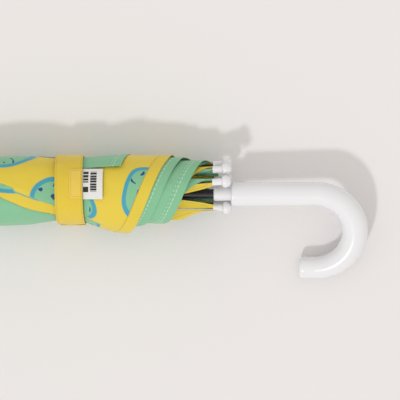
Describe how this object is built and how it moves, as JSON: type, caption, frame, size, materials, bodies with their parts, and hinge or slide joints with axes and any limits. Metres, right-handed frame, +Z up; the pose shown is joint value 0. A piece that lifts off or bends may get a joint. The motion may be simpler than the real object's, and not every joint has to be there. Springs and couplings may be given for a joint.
{
  "type": "children's umbrella",
  "caption": "Child's stick umbrella, furled and strapped, with a printed canopy, ball-tipped ribs and a hooked plastic handle.",
  "frame": {"origin": "middle of the lying umbrella's outline, on the surface it lies on", "axes": "+X along the umbrella towards the handle, +Y away from the hook's open side, +Z up"},
  "size_m": [0.6253, 0.0994, 0.0604],
  "materials": {
    "white_plastic": "glossy",
    "black_steel": "satin",
    "bright_steel": "satin",
    "canopy_cloth": "matte",
    "strap_cloth": "matte",
    "label_cloth": "matte",
    "pad_cloth": "matte"
  },
  "bodies": {
    "shaft": {"shaft": "black_steel", "ferrule": "white_plastic", "crown_patch": "canopy_cloth", "crown_cap": "white_plastic", "top_notch": "white_plastic", "notch_wire": "bright_steel", "bottom_stop": "white_plastic", "handle": "white_plastic", "handle_collar": "white_plastic", "handle_pin": "bright_steel", "canopy_wrap": "canopy_cloth"},
    "rib_1": {"rib_1": "black_steel", "rib_clip_1": "black_steel", "tip_1": "white_plastic", "strap": "strap_cloth", "loop_pad": "pad_cloth", "strap_label": "label_cloth"},
    "stretcher_1": {"stretcher_1": "black_steel"},
    "gore_1": {"gore_1": "canopy_cloth"},
    "rib_2": {"rib_2": "black_steel", "rib_clip_2": "black_steel", "tip_2": "white_plastic"},
    "stretcher_2": {"stretcher_2": "black_steel"},
    "gore_2": {"gore_2": "canopy_cloth"},
    "rib_3": {"rib_3": "black_steel", "rib_clip_3": "black_steel", "tip_3": "white_plastic"},
    "stretcher_3": {"stretcher_3": "black_steel"},
    "gore_3": {"gore_3": "canopy_cloth"},
    "rib_4": {"rib_4": "black_steel", "rib_clip_4": "black_steel", "tip_4": "white_plastic"},
    "stretcher_4": {"stretcher_4": "black_steel"},
    "gore_4": {"gore_4": "canopy_cloth"},
    "rib_5": {"rib_5": "black_steel", "rib_clip_5": "black_steel", "tip_5": "white_plastic"},
    "stretcher_5": {"stretcher_5": "black_steel"},
    "gore_5": {"gore_5": "canopy_cloth"},
    "rib_6": {"rib_6": "black_steel", "rib_clip_6": "black_steel", "tip_6": "white_plastic"},
    "stretcher_6": {"stretcher_6": "black_steel"},
    "gore_6": {"gore_6": "canopy_cloth"},
    "rib_7": {"rib_7": "black_steel", "rib_clip_7": "black_steel", "tip_7": "white_plastic"},
    "stretcher_7": {"stretcher_7": "black_steel"},
    "gore_7": {"gore_7": "canopy_cloth"},
    "rib_8": {"rib_8": "black_steel", "rib_clip_8": "black_steel", "tip_8": "white_plastic"},
    "stretcher_8": {"stretcher_8": "black_steel"},
    "gore_8": {"gore_8": "canopy_cloth"},
    "runner": {"runner": "white_plastic", "runner_wire": "bright_steel"},
    "strap_tab": {"strap_tab": "strap_cloth", "hook_pad": "pad_cloth"},
    "bottom_catch": {"bottom_catch": "bright_steel"},
    "top_catch": {"top_catch": "bright_steel"}
  },
  "joints": [
    {"name": "canopy_open", "type": "hinge", "parent": "shaft", "child": "rib_1", "pos_m": [-0.26288, 0.01599, 0.01697], "axis": [0.0148, -0.9397, -0.3417], "range_deg": [0, 63], "deforming": ["canopy_wrap", "strap", "strap_label", "loop_pad", "strap_tab", "hook_pad", "bottom_catch", "top_catch", "gore_1", "gore_2", "gore_3", "gore_4", "gore_5", "gore_6", "gore_7", "gore_8"]},
    {"name": "stretcher_1_hinge", "type": "hinge", "parent": "rib_1", "child": "stretcher_1", "pos_m": [-0.07556, 0.01599, 0.02507], "axis": [0.0148, -0.9397, -0.3417], "range_deg": [-126, 0]},
    {"name": "rib_2_hinge", "type": "hinge", "parent": "shaft", "child": "rib_2", "pos_m": [-0.26287, 0.02134, 0.01674], "axis": [-0.0183, -0.9063, 0.4222], "range_deg": [0, 63]},
    {"name": "stretcher_2_hinge", "type": "hinge", "parent": "rib_2", "child": "stretcher_2", "pos_m": [-0.07555, 0.02134, 0.02484], "axis": [-0.0183, -0.9063, 0.4222], "range_deg": [-126, 0]},
    {"name": "rib_3_hinge", "type": "hinge", "parent": "shaft", "child": "rib_3", "pos_m": [-0.2627, 0.02496, 0.01279], "axis": [-0.0406, -0.342, 0.9388], "range_deg": [0, 63]},
    {"name": "stretcher_3_hinge", "type": "hinge", "parent": "rib_3", "child": "stretcher_3", "pos_m": [-0.07538, 0.02496, 0.02089], "axis": [-0.0406, -0.342, 0.9388], "range_deg": [-126, 0]},
    {"name": "rib_4_hinge", "type": "hinge", "parent": "shaft", "child": "rib_4", "pos_m": [-0.26247, 0.02472, 0.00744], "axis": [-0.0391, 0.4226, 0.9055], "range_deg": [0, 63]},
    {"name": "stretcher_4_hinge", "type": "hinge", "parent": "rib_4", "child": "stretcher_4", "pos_m": [-0.07515, 0.02472, 0.01554], "axis": [-0.0391, 0.4226, 0.9055], "range_deg": [-126, 0]},
    {"name": "rib_5_hinge", "type": "hinge", "parent": "shaft", "child": "rib_5", "pos_m": [-0.26232, 0.02077, 0.00383], "axis": [-0.0148, 0.9397, 0.3417], "range_deg": [0, 63]},
    {"name": "stretcher_5_hinge", "type": "hinge", "parent": "rib_5", "child": "stretcher_5", "pos_m": [-0.07499, 0.02077, 0.01193], "axis": [-0.0148, 0.9397, 0.3417], "range_deg": [-126, 0]},
    {"name": "rib_6_hinge", "type": "hinge", "parent": "shaft", "child": "rib_6", "pos_m": [-0.26233, 0.01542, 0.00406], "axis": [0.0183, 0.9063, -0.4222], "range_deg": [0, 63]},
    {"name": "stretcher_6_hinge", "type": "hinge", "parent": "rib_6", "child": "stretcher_6", "pos_m": [-0.075, 0.01542, 0.01216], "axis": [0.0183, 0.9063, -0.4222], "range_deg": [-126, 0]},
    {"name": "rib_7_hinge", "type": "hinge", "parent": "shaft", "child": "rib_7", "pos_m": [-0.2625, 0.0118, 0.00801], "axis": [0.0406, 0.342, -0.9388], "range_deg": [0, 63]},
    {"name": "stretcher_7_hinge", "type": "hinge", "parent": "rib_7", "child": "stretcher_7", "pos_m": [-0.07517, 0.0118, 0.01611], "axis": [0.0406, 0.342, -0.9388], "range_deg": [-126, 0]},
    {"name": "rib_8_hinge", "type": "hinge", "parent": "shaft", "child": "rib_8", "pos_m": [-0.26273, 0.01204, 0.01336], "axis": [0.0391, -0.4226, -0.9055], "range_deg": [0, 63]},
    {"name": "stretcher_8_hinge", "type": "hinge", "parent": "rib_8", "child": "stretcher_8", "pos_m": [-0.0754, 0.01204, 0.02145], "axis": [0.0391, -0.4226, -0.9055], "range_deg": [-126, 0]},
    {"name": "gore_1_spread", "type": "hinge", "parent": "rib_1", "child": "gore_1", "pos_m": [-0.26592, 0.01846, 0.0121], "axis": [0.4547, 0.038, 0.8899], "range_deg": [0, 46.14]},
    {"name": "gore_2_spread", "type": "hinge", "parent": "rib_2", "child": "gore_2", "pos_m": [-0.2659, 0.01974, 0.0115], "axis": [0.4668, 0.6416, 0.6086], "range_deg": [0, 46.14]},
    {"name": "gore_3_spread", "type": "hinge", "parent": "rib_3", "child": "gore_3", "pos_m": [-0.26584, 0.02022, 0.01018], "axis": [0.4939, 0.8694, -0.0166], "range_deg": [0, 46.14]},
    {"name": "gore_4_spread", "type": "hinge", "parent": "rib_4", "child": "gore_4", "pos_m": [-0.26579, 0.01962, 0.0089], "axis": [0.5199, 0.5879, -0.6197], "range_deg": [0, 46.14]},
    {"name": "gore_5_spread", "type": "hinge", "parent": "rib_5", "child": "gore_5", "pos_m": [-0.26577, 0.0183, 0.00842], "axis": [0.5298, -0.038, -0.8473], "range_deg": [0, 46.14]},
    {"name": "gore_6_spread", "type": "hinge", "parent": "rib_6", "child": "gore_6", "pos_m": [-0.26579, 0.01702, 0.00902], "axis": [0.5176, -0.6416, -0.5661], "range_deg": [0, 46.14]},
    {"name": "gore_7_spread", "type": "hinge", "parent": "rib_7", "child": "gore_7", "pos_m": [-0.26585, 0.01654, 0.01034], "axis": [0.4906, -0.8694, 0.0592], "range_deg": [0, 46.14]},
    {"name": "gore_8_spread", "type": "hinge", "parent": "rib_8", "child": "gore_8", "pos_m": [-0.2659, 0.01714, 0.01161], "axis": [0.4645, -0.5879, 0.6623], "range_deg": [0, 46.14]},
    {"name": "runner_hinge", "type": "hinge", "parent": "stretcher_3", "child": "runner", "pos_m": [0.11195, 0.02496, 0.02899], "axis": [-0.0406, -0.342, 0.9388], "range_deg": [0, 63]},
    {"name": "strap_tab_peel", "type": "hinge", "parent": "rib_1", "child": "strap_tab", "pos_m": [0.07609, 0.00945, 0.00178], "axis": [0.9991, 0, 0.0432], "range_deg": [0, 45], "stiffness_Nm_per_rad": 0.0005},
    {"name": "bottom_catch_press", "type": "hinge", "parent": "shaft", "child": "bottom_catch", "pos_m": [0.08897, 0.01838, 0.0233], "axis": [0, 1, 0], "range_deg": [-8, 0], "stiffness_Nm_per_rad": 0.02},
    {"name": "top_catch_press", "type": "hinge", "parent": "shaft", "child": "top_catch", "pos_m": [-0.05325, 0.01838, 0.01715], "axis": [0, -1, 0], "range_deg": [-8, 0], "stiffness_Nm_per_rad": 0.02}
  ],
  "couplings": [
    {"joint": "stretcher_1_hinge", "follows": "canopy_open", "ratio": -2},
    {"joint": "rib_2_hinge", "follows": "canopy_open", "ratio": 1},
    {"joint": "stretcher_2_hinge", "follows": "canopy_open", "ratio": -2},
    {"joint": "rib_3_hinge", "follows": "canopy_open", "ratio": 1},
    {"joint": "stretcher_3_hinge", "follows": "canopy_open", "ratio": -2},
    {"joint": "rib_4_hinge", "follows": "canopy_open", "ratio": 1},
    {"joint": "stretcher_4_hinge", "follows": "canopy_open", "ratio": -2},
    {"joint": "rib_5_hinge", "follows": "canopy_open", "ratio": 1},
    {"joint": "stretcher_5_hinge", "follows": "canopy_open", "ratio": -2},
    {"joint": "rib_6_hinge", "follows": "canopy_open", "ratio": 1},
    {"joint": "stretcher_6_hinge", "follows": "canopy_open", "ratio": -2},
    {"joint": "rib_7_hinge", "follows": "canopy_open", "ratio": 1},
    {"joint": "stretcher_7_hinge", "follows": "canopy_open", "ratio": -2},
    {"joint": "rib_8_hinge", "follows": "canopy_open", "ratio": 1},
    {"joint": "stretcher_8_hinge", "follows": "canopy_open", "ratio": -2},
    {"joint": "gore_1_spread", "follows": "canopy_open", "ratio": 0.73233},
    {"joint": "gore_2_spread", "follows": "canopy_open", "ratio": 0.73233},
    {"joint": "gore_3_spread", "follows": "canopy_open", "ratio": 0.73233},
    {"joint": "gore_4_spread", "follows": "canopy_open", "ratio": 0.73233},
    {"joint": "gore_5_spread", "follows": "canopy_open", "ratio": 0.73233},
    {"joint": "gore_6_spread", "follows": "canopy_open", "ratio": 0.73233},
    {"joint": "gore_7_spread", "follows": "canopy_open", "ratio": 0.73233},
    {"joint": "gore_8_spread", "follows": "canopy_open", "ratio": 0.73233},
    {"joint": "runner_hinge", "follows": "canopy_open", "ratio": 1}
  ]
}
